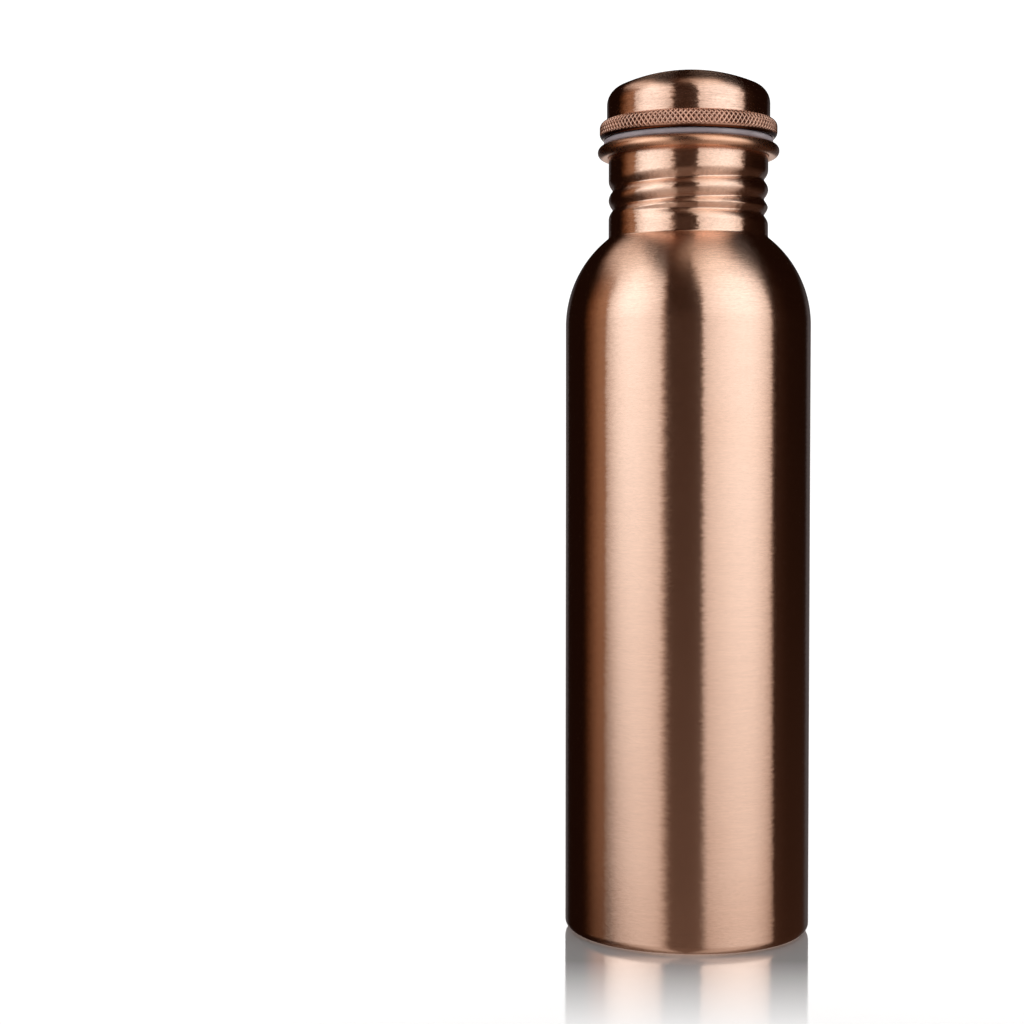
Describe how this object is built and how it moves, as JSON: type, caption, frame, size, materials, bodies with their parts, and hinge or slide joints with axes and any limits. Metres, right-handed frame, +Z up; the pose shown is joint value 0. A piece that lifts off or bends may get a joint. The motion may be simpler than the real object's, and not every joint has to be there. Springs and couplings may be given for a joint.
{
  "type": "water bottle",
  "caption": "Brushed copper water bottle with a rolled screw neck and lip, a soft sealing ring and a domed screw cap with a knurled grip ring.",
  "frame": {"origin": "centre of the bottle's underside, in the plane of the ring that it stands on", "axes": "+Z up along the bottle's axis, from the base to the cap; +X is where the neck's thread begins to reach its full depth, and +Y is 90 degrees round from it, anticlockwise from above"},
  "size_m": [0.076, 0.076, 0.2671],
  "materials": {
    "brushed_copper": "brushed",
    "base_copper": "satin",
    "plug_copper": "satin",
    "knurled_copper": "knurled",
    "silicone": "satin translucent"
  },
  "bodies": {
    "bottle": {"bottle_body": "brushed_copper", "base_pan": "base_copper"},
    "seal": {"gasket": "silicone"},
    "cap": {"threaded_plug": "plug_copper", "cap_dome": "brushed_copper", "knurled_ring": "knurled_copper"}
  },
  "joints": [
    {"name": "cap_lift", "type": "slide", "parent": "bottle", "child": "seal", "axis": [0, 0, 1], "range_m": [0, 0.036]},
    {"name": "cap_turn", "type": "hinge", "parent": "seal", "child": "cap", "pos_m": [0, 0, 0.2463], "axis": [0, 0, 1], "range_deg": [0, 2160]}
  ],
  "couplings": [
    {"joint": "cap_lift", "follows": "cap_turn", "m_per_rad": 0.00095492}
  ]
}
